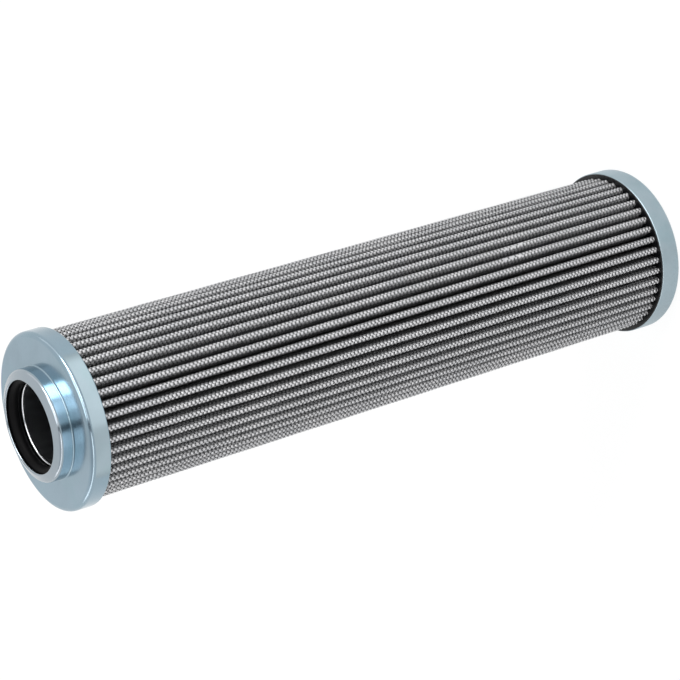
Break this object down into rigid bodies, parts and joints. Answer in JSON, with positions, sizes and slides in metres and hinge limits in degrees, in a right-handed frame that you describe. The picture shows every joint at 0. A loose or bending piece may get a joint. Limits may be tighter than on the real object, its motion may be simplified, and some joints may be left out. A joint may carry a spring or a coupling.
{
  "type": "hydraulic filter element",
  "caption": "Replacement hydraulic filter element: mesh-backed pleated pack round a perforated core, between a closed steel end cap and one with a sealed outlet collar.",
  "frame": {"origin": "centre of the closed end cap's flat outer face, on which the element stands", "axes": "+Z along the element's axis, from the closed end cap to the outlet collar; -Y towards the camera of the picture"},
  "size_m": [0.052, 0.052, 0.2185],
  "materials": {
    "zinc_plated_steel": "bright blue zinc plate",
    "seal_rubber": "smooth black nitrile",
    "bright_steel": "bright",
    "core_steel": "zinc plated",
    "outer_wire_cloth": "woven wire",
    "inner_wire_cloth": "woven wire",
    "fleece": "white non-woven",
    "glass_fibre_medium": "matt glass fibre",
    "black_adhesive": "cured epoxy"
  },
  "bodies": {
    "root": {"outlet_end_cap": "zinc_plated_steel", "collar_seal": "seal_rubber", "seal_support_ring": "bright_steel", "core_tube": "core_steel", "inner_mesh": "inner_wire_cloth", "inner_fleece": "fleece", "filter_media": "glass_fibre_medium", "outer_fleece": "fleece", "outer_mesh": "outer_wire_cloth", "seam_glue_line": "black_adhesive", "outlet_potting": "black_adhesive", "closed_potting": "black_adhesive", "closed_end_cap": "zinc_plated_steel"}
  },
  "joints": []
}
